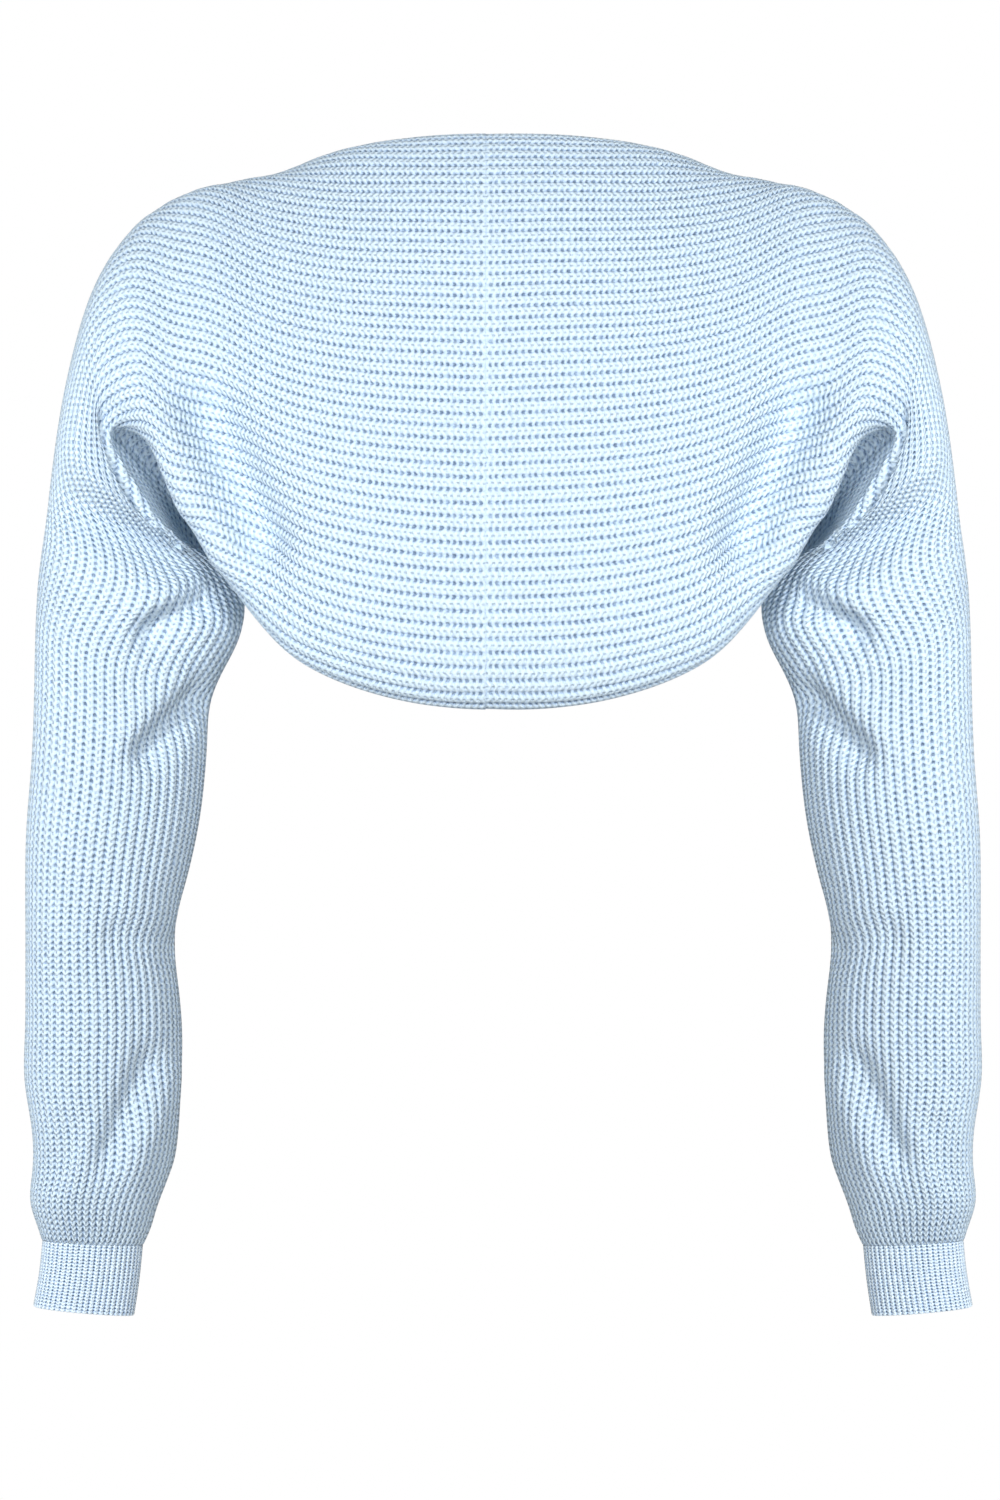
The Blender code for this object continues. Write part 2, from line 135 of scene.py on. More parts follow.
# Sections of the sleeve, from the underarm point to the cuff, and of the cuff, as in the CAD: the
# depths behind and in front of the middle, and how far round the front the sleeve seam lies
SLEEVE = (
    # name,           outer (x, z),      inner (x, z),      middle, back, front, seam
    ("underarm",     (243.5, -185.0),   (137.8, -227.0),   -2.0,   57.0, 54.0, 0.30),
    ("arm_1",        (246.0, -205.0),   (145.0, -246.0),   -2.0,   57.0, 56.0, 0.28),
    ("arm_2",        (247.2, -226.0),   (154.5, -267.0),   -2.0,   57.0, 58.0, 0.26),
    ("arm_3",        (247.7, -248.0),   (156.7, -288.0),   -3.0,   57.0, 59.0, 0.25),
    ("arm_4",        (248.2, -275.0),   (158.0, -308.0),   -4.0,   57.0, 59.0, 0.25),
    ("arm_5",        (249.6, -304.0),   (160.0, -326.0),   -4.0,   56.0, 58.0, 0.25),
    ("elbow_1",      (252.0, -333.0),   (163.5, -345.0),   -2.0,   56.0, 57.0, 0.25),
    ("elbow_2",      (253.0, -362.0),   (169.0, -367.0),   1.0,    54.0, 55.0, 0.25),
    ("elbow_3",      (253.3, -392.0),   (174.4, -392.0),   6.0,    53.0, 53.0, 0.25),
    ("forearm_1",    (253.8, -418.0),   (173.0, -418.0),   12.0,   52.0, 51.0, 0.25),
    ("forearm_2",    (254.6, -444.0),   (171.2, -444.0),   19.0,   52.0, 49.0, 0.25),
    ("forearm_3",    (255.4, -470.0),   (172.0, -470.0),   26.0,   51.0, 48.0, 0.25),
    ("forearm_4",    (252.2, -496.0),   (173.8, -496.0),   33.0,   49.0, 46.0, 0.25),
    ("forearm_5",    (252.4, -520.0),   (178.4, -520.0),   40.0,   45.0, 43.0, 0.25),
    ("blouse",       (253.6, -538.0),   (186.0, -540.0),   45.0,   39.0, 38.0, 0.25),
    ("gather",       (250.4, -550.0),   (190.0, -552.5),   49.0,   32.0, 32.0, 0.25),
    ("sleeve_end",   (248.4, -557.0),   (193.4, -560.0),   51.0,   27.0, 27.0, 0.25),
)
CUFF = (
    ("cuff_top",     (247.9, -557.4),   (193.9, -560.4),   51.2,   25.6, 25.6, 0.25),
    ("cuff_middle",  (250.0, -574.8),   (196.0, -579.0),   56.2,   25.0, 25.0, 0.25),
    ("cuff_end",     (253.6, -593.5),   (199.2, -599.0),   61.8,   25.6, 25.6, 0.25),
)

# Folds: troughs along a straight line seen from behind, and the ridge that stands beside each, on
# its left as one goes from the first end to the second, RIDGE_AT widths off. They are full over
# FOLD_BODY of their length and die away over FOLD_TAIL of it. Those behind also fade out over
# FOLDS_FADE of a section just before the cloth turns in
RIDGE_AT = 1.4
FOLD_BODY = 0.7
FOLD_TAIL = 0.19
FOLDS_FADE = 0.03
FOLDS = (
    # name,              face,    from (x, z),       to (x, z),         depth, ridge, width
    ("blade_hollow",     "back",  (160.0, -105.0),   (124.0, -196.0),   18.0,   4.0,  16.0),
    ("underarm_crease",  "back",  (153.0, -213.0),   (190.0, -236.0),    9.0,   4.0,   8.0),
    ("upper_arm_fold",   "back",  (156.0, -262.0),   (190.0, -300.0),    9.0,   4.0,   9.0),
    ("elbow_crease",     "back",  (172.0, -402.0),   (208.0, -390.0),    4.0,   2.0,  11.0),
    ("forearm_fold",     "back",  (211.0, -516.0),   (184.0, -456.0),    6.5,   3.0,   9.0),
    ("wrist_fold",       "back",  (240.0, -528.0),   (226.0, -490.0),    2.5,   1.5,   8.0),
    ("front_drag",       "front", (232.0, -215.0),   (176.0, -246.0),    3.0,   2.0,  12.0),
    ("inner_elbow_high", "front", (238.0, -366.0),   (176.0, -380.0),    4.0,   2.5,  10.0),
    ("inner_elbow_low",  "front", (236.0, -398.0),   (182.0, -412.0),    3.5,   2.0,  10.0),
    ("front_wrist",      "front", (186.0, -524.0),   (200.0, -490.0),    2.5,   1.5,   8.0),
)

# The lip of the pocket: a roll along the line where the cloth turns in and a crease outside it, from
# the first of these sections to the second. Where each lies, in millimetres before the turn, how high
# it stands and how broad it is
LIP_FROM = "pocket_top"
LIP_TO = "lip_end"
LIP_FORMS = (
    # name,     before, height, width
    ("roll",    6.5,    3.0,    6.0),
    ("crease",  17.5,   -7.5,   5.5),
)

# The picture: its size in pixels, its scale where y is 0, the pixel on which the origin lies, how far
# away it was taken and the longer side of the camera's sensor, both in millimetres
PICTURE = (1000, 1500)
MM_PER_PIXEL = 0.53
ORIGIN_PIXEL = (503, 195)
DISTANCE = 3200.0
SENSOR = 36.0

# Yarn. Its three noises in waves a metre: how stitches and ribs stray from their places, once in 6 mm,
# the width of a rib; the flecks, of 1 mm, the strands of the heathered yarn; and where the gaps
# between stitches are wide or closed, in 3 mm, the length of a stitch
STRAY_SCALE = 160.0
FLECK_SCALE = 900.0
UNEVEN_SCALE = 330.0

# How far the yarn strays, in stitches and in ribs
STRAY_STITCHES = 0.7
STRAY_RIBS = 0.12

# Where each mark begins and where it is full: the hole on a rib, the gap in a furrow and the flank,
# where shade is painted, as distances from the rib's middle in ribs, and the parting of two stitches
# as the wave of their legs, which goes from 1 on a leg to -1 between two
HOLE_SPAN = (0.12, 0.03)
GAP_SPAN = (0.3, 0.44)
FLANK_SHADE_SPAN = (0.2, 0.45)
PARTING_SPAN = (0.1, -0.7)

# The span of its noise over which a fleck turns from light to dark and a mark from weak to strong, how
# strong the weakest are, how strong the marks are at the seam where a piece starts, and after how many
# stitches from it they are full
FLECK_SPAN = (0.4, 0.62)
UNEVEN_SPAN = (0.3, 0.6)
WEAKEST_MARK = 0.45
SEAM_MARK = 0.5
SEAM_STITCHES = 0.6

# Shares by which flecks, and the painted shade of the flanks of a rib and of the parting of two
# stitches, turn the colour of its crest to the darker, shaded colour of its flanks
FLECK_SHARE = 0.3
FLANK_SHADE_SHARE = 0.6
PARTING_SHADE_SHARE = 0.35

# Depth of the small holes on a rib and of the gaps in a furrow, and height of the fuzz, in
# millimetres. Its fibres are too fine to show, so the fuzz is drawn as coarse as the flecks
HOLE_DEPTH = 0.4
GAP_DEPTH = 0.6
FUZZ_HEIGHT = 0.35

# Floor and light, in metres and watts. ROOM_LIGHT is what the white room gives, as a share of full
# white. The soft square lamps are as wide as their size and all turned to LOOK_AT. Two stand on the
# picture's side, one high and one low, and the others keep the open front and the sides from going
# dark
FLOOR_Z = -2.4
FLOOR_RADIUS = 2.0
FLOOR_SIDES = 96
LOOK_AT = (0.0, 0.0, -0.28)
ROOM_LIGHT = 0.1
LAMPS = (
    # name,         place,              size, power
    ("soft_key",    (0.0, -5.4, 2.4),   0.8,  185.0),
    ("low_fill",    (0.0, -5.4, -2.8),  0.8,  130.0),
    ("rear_fill",   (0.0, 5.4, 0.6),    0.8,  230.0),
    ("left_side",   (-2.4, 0.1, -0.3),  0.2,  4.0),
    ("right_side",  (2.4, 0.1, -0.3),   0.2,  4.0),
)

# Soft spots, one on the middle of the back and one on the outer side of each sleeve, so that the light
# falls off towards the sleeves' inner sides: the lamp's radius in metres, the whole angle of its cone
# in degrees, and over which share of the cone it fades out
SPOTS = (
    # name,         place,              turned to,           radius, cone, blend, power
    ("back_spot",   (0.0, -4.5, 1.0),   (0.0, 0.0, -0.03),   0.2,    7.5,  0.9,   420.0),
    ("left_spot",   (-1.9, -2.6, 0.3),  (-0.42, 0.0, -0.3),  0.15,   17.0, 0.4,   265.0),
    ("right_spot",  (1.9, -2.6, 0.3),   (0.42, 0.0, -0.3),   0.15,   17.0, 0.4,   265.0),
)


def cubic(knots, points, at):
    """Natural cubic spline through points (one row per knot), read at the places at."""
    count = len(knots)
    step = np.diff(knots)
    flat = points.reshape(count, -1)
    slope = np.diff(flat, axis=0) / step[:, None]
    matrix = np.eye(count)
    right = np.zeros_like(flat)
    for i in range(1, count - 1):
        matrix[i, i - 1:i + 2] = step[i - 1], 2 * (step[i - 1] + step[i]), step[i]
        right[i] = 6 * (slope[i] - slope[i - 1])
    bend = np.linalg.solve(matrix, right)
    k = np.clip(np.searchsorted(knots, at, side="right") - 1, 0, count - 2)
    h = step[k][:, None]
    a = (knots[k + 1] - at)[:, None] / h
    b = 1 - a
    curve = a * flat[k] + b * flat[k + 1]
    curve += ((a**3 - a) * bend[k] + (b**3 - b) * bend[k + 1]) * h**2 / 6
    return curve.reshape((len(at),) + points.shape[1:])


def bezier(a, b, c, d, steps=60):
    """Points of the cubic Bezier curve with end points a, d and handles b, c."""
    t = np.linspace(0, 1, steps)[:, None]
    s = 1 - t
    return s**3 * a + 3 * s * s * t * b + 3 * s * t * t * c + t**3 * d


def depth(length):
    """A vector of that length along Y."""
    return np.array([0.0, length, 0.0])


def body_curve(row):
    """The curve of one open section, from its neck edge to its hem edge, its gather and the share of
    it before the turn: three Bezier curves, over the shoulder, down the back and in under the turn."""
    _, outer, edge, turn, hem, front, back, dip, lean, tuck, rise, gather = row
    outer, edge, turn, hem = (np.array(p, float) for p in (outer, edge, turn, hem))
    over = np.linalg.norm(outer - edge)
    under = np.linalg.norm(turn - hem)
    from_edge = edge + EDGE_LEAN * (outer - edge) + depth(front)
    to_hem = hem + EDGE_LEAN * (turn - hem) + (0, UNDER_HEM * under, rise)
    parts = (
        bezier(edge, from_edge, outer + depth(OVER_SHOULDER * over), outer),
        bezier(outer, outer - depth(back), turn + (lean, -dip, 0), turn),
        bezier(turn, turn + (-lean * tuck / dip, tuck, 0), to_hem, hem),
    )
    lengths = [np.linalg.norm(np.diff(part, axis=0), axis=1).sum() for part in parts]
    curve = np.concatenate([parts[0], parts[1][1:], parts[2][1:]])
    return curve, gather, 1 - lengths[2] / sum(lengths)


def ring_curve(row):
    """The closed curve of one sleeve or cuff section, from its seam round the front and back to it,
    its gather and the share of it before the inner point: two Bezier curves, behind and in front of
    the line from the outer point to the inner one."""
    _, (outer_x, outer_z), (inner_x, inner_z), middle, back, front, seam = row
    outer = np.array([outer_x, middle, outer_z])
    inner = np.array([inner_x, middle, inner_z])
    behind, before = depth(RING_HANDLE * back), depth(RING_HANDLE * front)
    rear = bezier(outer, outer - behind, inner - INNER_FULLNESS * behind, inner)
    ahead = bezier(inner, inner + before, outer + before, outer)
    start = int(round(seam * (len(ahead) - 1)))
    curve = np.concatenate([ahead[start:], rear[1:], ahead[1:start + 1]])
    return curve, 0.0, 1 - seam / 2


def spaced(curve, gather, shares):
    """Points along a curve at these shares of its length, closer together at its start by gather."""
    length = np.concatenate([[0], np.cumsum(np.linalg.norm(np.diff(curve, axis=0), axis=1))])
    along = (shares - gather * shares * (1 - shares)) * length[-1]
    return np.stack([np.interp(along, length, curve[:, k]) for k in range(3)], axis=1)


def surface(curves, ribs, row_step, mirrored_start):
    """The surface of the crests as a grid of rows across the ribs. Its two parameters are the share of
    a section's length and the way from section to section, along which each share follows a natural
    spline. Also the number of the row on which each section lies."""
    shares = np.linspace(0, 1, ribs * PER_RIB + 1)
    rows = np.array([spaced(curve, gather, shares) for curve, gather, _ in curves])
    if mirrored_start:
        rows = np.concatenate([rows[1:2] * (-1, 1, 1), rows])
    strides = np.linalg.norm(np.diff(rows, axis=0), axis=2)
    knots = np.concatenate([[0], np.cumsum(np.median(strides, axis=1))])
    steps = np.maximum(1, np.ceil(strides.max(axis=1) / row_step)).astype(int)
    spans = [np.linspace(a, b, n, endpoint=False) for a, b, n in zip(knots, knots[1:], steps)]
    at = np.append(np.concatenate(spans), knots[-1])
    return cubic(knots, rows, at), np.concatenate([[0], np.cumsum(steps)])


def unit(vectors):
    """The vectors at length 1: each over its own length."""
    return vectors / np.maximum(np.linalg.norm(vectors, axis=-1, keepdims=True), 1e-9)


def normals_of(grid, sewn_from):
    """Unit normals of a grid of points, towards the right side of the cloth: the product of its two
    directions, taken across the seam where the sleeve is sewn up."""
    along, across = np.gradient(grid, axis=0), np.gradient(grid, axis=1)
    ring = (grid[sewn_from:, 1] - grid[sewn_from:, -2]) / 2
    across[sewn_from:, 0], across[sewn_from:, -1] = ring, ring
    return unit(np.cross(across, along))


def sewn_up(grid, sewn_from):
    """The surface with its two long edges brought exactly together from the row sewn_from on."""
    share = np.linspace(-0.5, 0.5, grid.shape[1])[:, None]
    grid[sewn_from:] -= share * (grid[sewn_from:, -1:] - grid[sewn_from:, :1])
    return grid


def folded(grid, sewn_from, turns):
    """The surface with its folds: each lowers the cloth by a bell across its line, lifts it by a
    second bell beside that, and dies away past both ends, and behind just before the cloth turns in,
    which each row does at its share in turns."""
    normal = normals_of(grid, sewn_from)
    push = np.zeros(grid.shape[:2])
    seen = grid[..., [0, 2]]
    share = np.linspace(0, 1, grid.shape[1])
    before_turn = np.clip((turns[:, None] - share) / FOLDS_FADE, 0, 1)
    for _, face, start, end, deep, ridge, width in FOLDS:
        start, end = np.array(start), np.array(end)
        run = np.linalg.norm(end - start)
        way = (end - start) / run
        along = (seen - start) @ way / run
        across = (seen - start) @ np.array([-way[1], way[0]]) / width
        ends = np.exp(-(np.clip(np.abs(along - 0.5) - FOLD_BODY / 2, 0, None) / FOLD_TAIL) ** 2)
        if face == "back":
            shown = np.sqrt(np.clip(-normal[..., 1], 0, 1)) * before_turn
        else:
            shown = np.sqrt(np.clip(normal[..., 1], 0, 1))
        push += ends * shown * (ridge * np.exp(-(across - RIDGE_AT) ** 2) - deep * np.exp(-across**2))
    return grid + push[..., None] * normal


def lipped(grid, sewn_from, turns, sections):
    """The surface with the lip of its pocket: each form is a bell of the distance before the turn,
    times the square of a sine from the row LIP_FROM to the row LIP_TO."""
    names = [row[0] for row in BODY]
    first, last = (sections[names.index(name) + 1] for name in (LIP_FROM, LIP_TO))
    share = np.linspace(0, 1, grid.shape[1])
    length = np.linalg.norm(np.diff(grid, axis=1), axis=2).sum(axis=1)
    before = (turns[:, None] - share) * length[:, None]
    shown = np.sin(np.pi * np.clip((np.arange(len(grid)) - first) / (last - first), 0, 1)) ** 2
    push = np.zeros(grid.shape[:2])
    for _, place, height, width in LIP_FORMS:
        push += height * np.exp(-((before - place) / width) ** 2)
    return grid + (push * shown[:, None])[..., None] * normals_of(grid, sewn_from)


def half_surface(seam_x):
    """The crests of a half from the centre back seam at seam_x out to the cuff, on the side where x is
    positive, and the row where the sleeve closes. The ribs sag towards the seam by a sine across them
    times an exponential of the distance from it."""
    curves = [body_curve(row) for row in BODY] + [ring_curve(row) for row in SLEEVE]
    grid, sections = surface(curves, HALF_RIBS, ROW_STEP, mirrored_start=True)
    sewn_from = int(sections[len(BODY) + 1])
    turns = [curves[1][2]] + [turn for _, _, turn in curves]
    turns = np.interp(np.arange(len(grid)), sections, turns)
    grid = lipped(sewn_up(grid, sewn_from), sewn_from, turns, sections)
    grid = folded(grid, sewn_from, turns)
    first = int(np.argmax(grid[:, grid.shape[1] // 2, 0] > seam_x + FIRST_ROW_AT)) - 1
    grid = grid[first:]
    grid[0, :, 0] = seam_x
    share = np.linspace(0, 1, grid.shape[1])
    near = np.exp(-np.hypot(grid[..., 0] - seam_x, SAG_ROUNDING) / SAG_REACH)
    down = unit(np.gradient(grid, axis=1))
    down[..., 0] = 0
    return grid + (SAG * np.sin(np.pi * share) * near)[..., None] * down, sewn_from - first


def cuff_surface():
    """The crests of a cuff on the side where x is positive, closed all the way."""
    grid, _ = surface([ring_curve(row) for row in CUFF], CUFF_RIBS, CUFF_ROW_STEP, mirrored_start=False)
    return sewn_up(grid, 0), 0


def stitches(grid, sewn_from, ribs, pitch):
    """How many stitches lie between the first row and each row, for each rib: the length along the
    middle of the rib over the pitch. Every rib reaches the sewn part on a whole stitch, and all count
    the same from there, so that the stitches of neighbours meet."""
    middle = grid[:, PER_RIB // 2::PER_RIB][:, :ribs]
    strides = np.linalg.norm(np.diff(middle, axis=0), axis=2) / pitch
    if sewn_from:
        total = strides[:sewn_from].sum(axis=0)
        strides[:sewn_from] *= np.round(total) / total
    strides[sewn_from:] = np.median(strides[sewn_from:], axis=1, keepdims=True)
    return np.concatenate([np.zeros((1, ribs)), np.cumsum(strides, axis=0)])


def rounded(from_outer, to_inner, outward):
    """Points of a half circle from an outer edge to the inner one, bulging that way."""
    angles = np.linspace(0, np.pi, EDGE_POINTS + 2)[1:-1]
    middle, half = (from_outer + to_inner) / 2, (from_outer - to_inner) / 2
    size = np.linalg.norm(half, axis=-1, keepdims=True)
    return [middle + np.cos(a) * half + np.sin(a) * size * outward for a in angles]


class Shell:
    """The points, faces and knit coordinates of one closed wall while it is put together."""

    def __init__(self):
        self.points, self.places, self.faces, self.corners = [], [], [], []
        self.count = 0

    def add(self, points, places):
        """Keep points of any grid shape with their knit coordinates, and give their numbers."""
        shape = points.shape[:-1]
        self.points.append(points.reshape(-1, 3))
        self.places.append(np.broadcast_to(places, shape + (2,)).reshape(-1, 2))
        numbers = self.count + np.arange(math.prod(shape)).reshape(shape)
        self.count += numbers.size
        return numbers

    def cover(self, faces, corners=None):
        """Keep faces, given by the numbers of their corners. Knit coordinates that differ from the
        points' own are given for each corner."""
        faces = faces.reshape(-1, faces.shape[-1])
        if corners is None:
            corners = np.concatenate(self.places)[faces]
        self.faces.append(faces)
        self.corners.append(corners.reshape(-1, 2))


def quads(values):
    """The four values round each cell of a grid: here, right, right of the next row, next row."""
    return np.stack([values[:-1, :-1], values[:-1, 1:], values[1:, 1:], values[1:, :-1]], axis=-1)


def cell_places(count, steps, shift):
    """Knit coordinates of the corners of each cell: the stitches counted on the rib that the cell is
    on, and the place across the ribs."""
    ribs = count.shape[1]
    cells = np.arange(ribs * steps)
    own = count[:, np.minimum(((cells + 0.5) / steps + shift).astype(int), ribs - 1)]
    along = np.stack([own[:-1], own[:-1], own[1:], own[1:]], axis=-1)
    across = (cells[:, None] + np.array([0, 1, 1, 0])) / steps + shift
    return np.stack(np.broadcast_arrays(along, across), axis=-1)


def knit_shell(surface_and_seam, ribs, relief, power, wall, pitch):
    """A closed wall round the surface of the crests: outside, it falls from the crest of each rib to
    the furrows by a power of the distance from the rib's middle; inside, ribs stand behind the
    furrows as a cosine. Free edges are half circles, and the end at the centre back seam is flat."""
    grid, sewn_from = surface_and_seam
    normal = normals_of(grid, sewn_from)
    phase = np.linspace(0, ribs, grid.shape[1])
    count = stitches(grid, sewn_from, ribs, pitch)
    own = count[:, np.minimum(phase.astype(int), ribs - 1)]
    places = np.stack(np.broadcast_arrays(own, phase), axis=-1)
    full = np.ones((len(grid), 1))
    if sewn_from:
        from_seam = np.linalg.norm(grid - grid[:1], axis=2).mean(axis=1, keepdims=True)
        full = 1 - SEAM_FLATNESS * np.exp(-(from_seam / SEAM_FADE) ** 2)
    fall = np.abs(2 * (phase % 1) - 1) ** power
    rise = 0.5 - 0.5 * np.cos(2 * np.pi * (phase + 0.5))
    outer = grid - normal * (relief * fall * full)[..., None]
    inner = grid - normal * (wall - INSIDE_RELIEF * (1 - rise))[None, :, None]
    shell = Shell()
    outside = shell.add(outer, places)
    inside = shell.add(inner[:, ::INSIDE_STEP], places[:, ::INSIDE_STEP])
    for numbers in (outside, inside):
        numbers[sewn_from:, -1] = numbers[sewn_from:, 0]
    shell.cover(quads(outside), cell_places(count, PER_RIB, 0.0))
    shell.cover(quads(inside), cell_places(count, PER_RIB // INSIDE_STEP, 0.5))

    # The free edges along the neck and front and along the hem, flat where they start at the centre
    # back seam. Both end on the same points at the underarm
    if sewn_from:
        rows = slice(0, sewn_from + 1)
        underarm = None
        for edge, beside in ((0, 1), (-1, -2)):
            outward = unit(grid[rows, edge] - grid[rows, beside])
            outward[-1] = 0
            arcs = rounded(outer[rows, edge], inner[rows, edge], outward)
            middles = [shell.add(arc, places[rows, edge]) for arc in arcs]
            strips = np.stack([outside[rows, edge]] + middles + [inside[rows, edge]])
            if underarm is None:
                underarm = strips[:, -1]
            strips[:, -1] = underarm
            shell.cover(quads(strips))
            shell.cover(strips[None, :, 0])

    # Both ends. Triangles join the last row outside to the inside, which has half as many points
    for end, beside in ((0, 1), (-1, -2)):
        rim = [outside[end]]
        if end == -1 or not sewn_from:
            arcs = rounded(outer[end], inner[end], unit(grid[end] - grid[beside]))
            rim += [shell.add(arc, places[end]) for arc in arcs]
            for numbers in rim[1:]:
                numbers[-1] = numbers[0]
            shell.cover(quads(np.stack(rim)))
        far, near = rim[-1], inside[end]
        first, second, third = far[:-2:2], far[1:-1:2], far[2::2]
        shell.cover(np.stack([first, second, near[:-1]], axis=-1))
        shell.cover(np.stack([second, near[1:], near[:-1]], axis=-1))
        shell.cover(np.stack([second, third, near[1:]], axis=-1))
    return shell


def mesh_object(name, shell, side, material):
    """The shell as an object on that side, its faces smooth and turned outwards, its knit
    coordinates in the map named knit: stitches along a rib, ribs across."""
    points = np.concatenate(shell.points) * (side * MM, MM, MM)
    sizes = np.concatenate([np.full(len(faces), faces.shape[1]) for faces in shell.faces])
    numbers = np.concatenate([faces.ravel() for faces in shell.faces])
    used, corners = np.unique(numbers, return_inverse=True)
    mesh = bpy.data.meshes.new(name)
    mesh.vertices.add(len(used))
    mesh.vertices.foreach_set("co", points[used].ravel())
    mesh.loops.add(len(corners))
    mesh.loops.foreach_set("vertex_index", corners.ravel())
    mesh.polygons.add(len(sizes))
    mesh.polygons.foreach_set("loop_start", np.concatenate([[0], np.cumsum(sizes)[:-1]]))
    mesh.update(calc_edges=True)
    mesh.uv_layers.new(name="knit").data.foreach_set("uv", np.concatenate(shell.corners).ravel())
    mesh.materials.append(material)
    work = bmesh.new()
    work.from_mesh(mesh)
    bmesh.ops.recalc_face_normals(work, faces=work.faces)
    work.to_mesh(mesh)
    work.free()
    mesh.polygons.foreach_set("use_smooth", np.ones(len(mesh.polygons), bool))
    mesh.set_sharp_from_angle(angle=SHARPEST_BEND)
    mesh.update()
    made = bpy.data.objects.new(name, mesh)
    bpy.context.scene.collection.objects.link(made)
    return made


def linear(hex_colour):
    """The linear colour of an sRGB hex value."""
    channels = (int(hex_colour[i:i + 2], 16) / 255 for i in (1, 3, 5))
    return tuple(((c + 0.055) / 1.055) ** 2.4 if c > 0.04 else c / 12.92 for c in channels) + (1.0,)


def add(tree, kind, inputs=(), **settings):
    """A shader node with its settings, and its inputs as values or as links from outputs."""
    made = tree.nodes.new("ShaderNode" + kind)
    for name, value in settings.items():
        setattr(made, name, value)
    for socket, value in dict(inputs).items():
        if isinstance(value, bpy.types.NodeSocket):
            tree.links.new(value, made.inputs[socket])
        else:
            made.inputs[socket].default_value = value
    return made.outputs


def knit(name, crest, flank, cavity, slant, hole_shade, gap_shade, stitch_height):
    """Rib knit of a soft heathered yarn. On each rib the legs of the stitches lean away from its
    middle by slant stitches over half a rib, a small hole lies between each two stitches, and the
    furrow is a row of gaps, where the loops behind it part. Shade is painted in: the flanks and the
    partings between stitches turn to the darker flank colour, and the holes and gaps to the darker
    cavity colour, by the shares given for holes and gaps. stitch_height is how far a leg rises, in
    millimetres."""
    material = bpy.data.materials.new(name)
    material.use_nodes = True
    tree = material.node_tree
    shader = tree.nodes["Principled BSDF"]
    # Where one is on the knit, in stitches along a rib and in ribs across
    place = add(tree, "UVMap", uv_map="knit")[0]
    where = add(tree, "TexCoord")["Object"]
    stray = add(tree, "TexNoise", {"Vector": where, "Scale": STRAY_SCALE, "Detail": 2.0})[0]
    fleck = add(tree, "TexNoise", {"Vector": where, "Scale": FLECK_SCALE, "Detail": 3.0})[0]
    uneven = add(tree, "TexNoise", {"Vector": where, "Scale": UNEVEN_SCALE, "Detail": 1.0})[0]
    along, across, _ = add(tree, "SeparateXYZ", {0: place})
    along = add(tree, "Math", {0: stray, 1: STRAY_STITCHES, 2: along}, operation="MULTIPLY_ADD")[0]
    across = add(tree, "Math", {0: stray, 1: STRAY_RIBS, 2: across}, operation="MULTIPLY_ADD")[0]
    across = add(tree, "Math", {0: across, 1: 1 - STRAY_RIBS / 2}, operation="ADD")[0]
    # The distance from the middle of the rib, from 0 there to 0.5 in the furrow, and the wave of
    # the stitches' legs, which is lowest between two stitches
    rib = add(tree, "Math", {0: across}, operation="FRACT")[0]
    rib = add(tree, "Math", {0: rib, 1: 0.5}, operation="SUBTRACT")[0]
    off = add(tree, "Math", {0: rib}, operation="ABSOLUTE")[0]
    turn = add(tree, "Math", {0: off, 1: slant, 2: along}, operation="MULTIPLY_ADD")[0]
    turn = add(tree, "Math", {0: turn, 1: math.tau}, operation="MULTIPLY")[0]
    leg = add(tree, "Math", {0: turn}, operation="COSINE")[0]
    # Masks: between two stitches, on the middle of a rib, in a furrow, on a flank, where shade is
    # painted, and how strong the marks are
    parting = add(tree, "MapRange", {0: leg, 1: PARTING_SPAN[0], 2: PARTING_SPAN[1]},
                  interpolation_type="SMOOTHSTEP")[0]
    at_middle = add(tree, "MapRange", {0: off, 1: HOLE_SPAN[0], 2: HOLE_SPAN[1]},
                    interpolation_type="SMOOTHSTEP")[0]
    at_furrow = add(tree, "MapRange", {0: off, 1: GAP_SPAN[0], 2: GAP_SPAN[1]},
                    interpolation_type="SMOOTHSTEP")[0]
    on_flank = add(tree, "MapRange", {0: off, 1: FLANK_SHADE_SPAN[0], 2: FLANK_SHADE_SPAN[1]},
                   interpolation_type="SMOOTHSTEP")[0]
    from_seam = add(tree, "MapRange", {0: along, 1: 0.0, 2: SEAM_STITCHES, 3: SEAM_MARK, 4: 1.0})[0]
    strength = add(tree, "MapRange",
                   {0: uneven, 1: UNEVEN_SPAN[0], 2: UNEVEN_SPAN[1], 3: WEAKEST_MARK, 4: 1.0})[0]
    strength = add(tree, "Math", {0: strength, 1: from_seam}, operation="MULTIPLY")[0]
    parted = add(tree, "Math", {0: parting, 1: strength}, operation="MULTIPLY")[0]
    holes = add(tree, "Math", {0: at_middle, 1: parted}, operation="MULTIPLY")[0]
    gaps = add(tree, "Math", {0: at_furrow, 1: parted}, operation="MULTIPLY")[0]
    # Colour: from crest to the painted shade of the flank, and on to the darker painted shade of the
    # cavity in the holes and gaps; the flecks are the yarn's own
    speckle = add(tree, "MapRange",
                  {0: fleck, 1: FLECK_SPAN[0], 2: FLECK_SPAN[1], 3: -FLECK_SHARE, 4: FLECK_SHARE})[0]
    # Painted shade on the flanks and between the stitches, together with the yarn's own flecks
    painted_shade_and_flecks = add(tree, "Math", {0: on_flank, 1: FLANK_SHADE_SHARE, 2: speckle}, operation="MULTIPLY_ADD")[0]
    painted_shade_and_flecks = add(tree, "Math", {0: parting, 1: PARTING_SHADE_SHARE, 2: painted_shade_and_flecks},
                operation="MULTIPLY_ADD", use_clamp=True)[0]
    colour = add(tree, "Mix", {0: painted_shade_and_flecks, 6: linear(crest), 7: linear(flank)}, data_type="RGBA")[2]
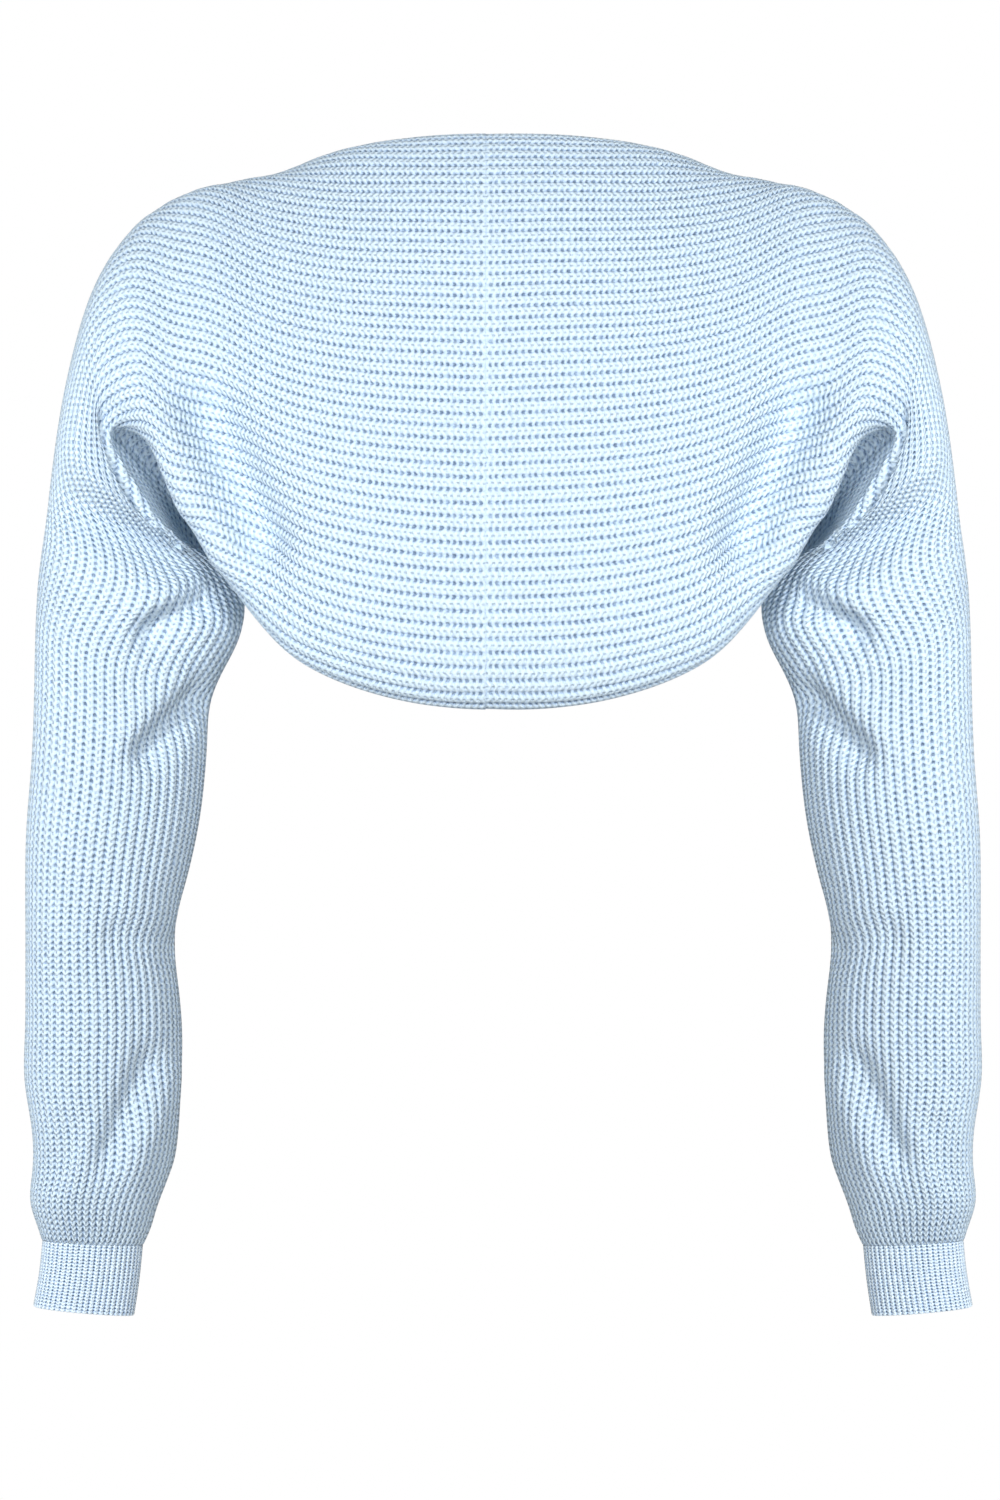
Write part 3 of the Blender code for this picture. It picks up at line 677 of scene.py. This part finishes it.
    # Painted shade in the holes and gaps: deep is the share of the darker cavity colour
    painted_gap_shade = add(tree, "Math", {0: gaps, 1: gap_shade}, operation="MULTIPLY")[0]
    deep = add(tree, "Math", {0: holes, 1: hole_shade, 2: painted_gap_shade},
               operation="MULTIPLY_ADD", use_clamp=True)[0]
    colour = add(tree, "Mix", {0: deep, 6: colour, 7: linear(cavity)}, data_type="RGBA")[2]
    tree.links.new(colour, shader.inputs["Base Color"])
    # Height in millimetres, for the bump
    height = add(tree, "Math", {0: leg, 1: stitch_height}, operation="MULTIPLY")[0]
    height = add(tree, "Math", {0: holes, 1: -HOLE_DEPTH, 2: height}, operation="MULTIPLY_ADD")[0]
    height = add(tree, "Math", {0: gaps, 1: -GAP_DEPTH, 2: height}, operation="MULTIPLY_ADD")[0]
    height = add(tree, "Math", {0: fleck, 1: FUZZ_HEIGHT, 2: height}, operation="MULTIPLY_ADD")[0]
    normal = add(tree, "Bump", {"Height": height, "Distance": MM})[0]
    tree.links.new(normal, shader.inputs["Normal"])
    shader.inputs["Roughness"].default_value = 0.9
    shader.inputs["IOR"].default_value = 1.5
    shader.inputs["Specular IOR Level"].default_value = 0.1
    return material


def plain(name, colour, roughness):
    """A plain dull surface."""
    material = bpy.data.materials.new(name)
    material.use_nodes = True
    shader = material.node_tree.nodes["Principled BSDF"]
    shader.inputs["Base Color"].default_value = linear(colour)
    shader.inputs["Roughness"].default_value = roughness
    return material


def light(data, place, turned_to, power):
    """The light with that power, at a place in metres and turned to another, unseen itself."""
    data.energy = power
    made = bpy.data.objects.new(data.name, data)
    made.location = place
    towards = [b - a for a, b in zip(place, turned_to)]
    made.rotation_euler = Vector(towards).to_track_quat("-Z", "Y").to_euler()
    made.visible_camera = False
    bpy.context.scene.collection.objects.link(made)


# Chunky rib knit of a soft matt heathered yarn, as the halves are knitted: no gloss, pale blue crests,
# and painted shade that makes the flanks bluer and each furrow a row of grey-blue gaps
chunky = knit("chunky_rib_knit", "#CCDDE8", "#ACC4E0", "#566C8C", 1.0, 0.45, 0.72, 0.25)
# Fine rib knit of the same yarn, as the cuffs are knitted, in smaller and tighter stitches: its crests
# a little lighter, which is painted light on the cuffs, painted shade in fine dark furrows, and hardly
# a mark on the ribs
fine = knit("fine_rib_knit", "#DAE9F3", "#ABC5E5", "#4E6888", 0.6, 0.25, 0.9, 0.15)

# Each side is worked out where x is positive, and the left one is then mirrored
for side, word, other, seam_x in ((-1, "left", "right", -SEAM_X), (1, "right", "left", SEAM_X)):
    crests = half_surface(seam_x + SEAM_GAP / 2)
    wall = knit_shell(crests, HALF_RIBS, HALF_RELIEF, HALF_CREST_POWER, HALF_WALL, HALF_STITCH)
    half = mesh_object(f"{word}_half_cloth", wall, side, chunky)
    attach(half, "root")
    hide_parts(f"{word}_half")
    crests = cuff_surface()
    wall = knit_shell(crests, CUFF_RIBS, CUFF_RELIEF, CUFF_CREST_POWER, CUFF_WALL, CUFF_STITCH)
    cuff = mesh_object(f"{word}_cuff_cloth", wall, side, fine)
    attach(cuff, "root")
    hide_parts(f"{word}_cuff")

# A round floor below the hanging shrug, out of the picture's view, painted matt: pale and even
turns = np.linspace(0, math.tau, FLOOR_SIDES, endpoint=False)
disc = [(FLOOR_RADIUS * math.cos(t), FLOOR_RADIUS * math.sin(t), FLOOR_Z) for t in turns]
floor_mesh = bpy.data.meshes.new("floor")
floor_mesh.from_pydata(disc, [], [range(FLOOR_SIDES)])
floor_mesh.materials.append(plain("matt_pale_floor", "#F2F2F2", 0.8))
floor = bpy.data.objects.new("floor", floor_mesh)
bpy.context.scene.collection.objects.link(floor)

for name, place, size, power in LAMPS:
    panel = bpy.data.lights.new(name, "AREA")
    panel.size = size
    light(panel, place, LOOK_AT, power)

for name, place, turned_to, radius, cone, blend, power in SPOTS:
    spot = bpy.data.lights.new(name, "SPOT")
    spot.shadow_soft_size = radius
    spot.spot_size = math.radians(cone)
    spot.spot_blend = blend
    light(spot, place, turned_to, power)

# A white room, which shows at full white and lights the shrug by ROOM_LIGHT of that
world = bpy.data.worlds.new("white_room")
bpy.context.scene.world = world
world.use_nodes = True
background = world.node_tree.nodes["Background"].inputs
background["Color"].default_value = (1, 1, 1, 1)
seen = add(world.node_tree, "LightPath")["Is Camera Ray"]
lit = add(world.node_tree, "Math", {0: seen, 1: 1 - ROOM_LIGHT, 2: ROOM_LIGHT},
          operation="MULTIPLY_ADD")[0]
world.node_tree.links.new(lit, background["Strength"])

# The camera, level and square to the back
camera = bpy.data.objects.new("camera", bpy.data.cameras.new("camera"))
bpy.context.scene.collection.objects.link(camera)
bpy.context.scene.camera = camera
camera.data.sensor_width = SENSOR
camera.data.lens = SENSOR * DISTANCE / (PICTURE[1] * MM_PER_PIXEL)
camera.location = (
    (PICTURE[0] / 2 - ORIGIN_PIXEL[0]) * MM_PER_PIXEL * MM,
    -DISTANCE * MM,
    (ORIGIN_PIXEL[1] - PICTURE[1] / 2) * MM_PER_PIXEL * MM,
)
camera.rotation_euler = (math.pi / 2, 0, 0)
bpy.context.scene.view_settings.view_transform = "Standard"
bpy.context.scene.view_settings.look = "None"
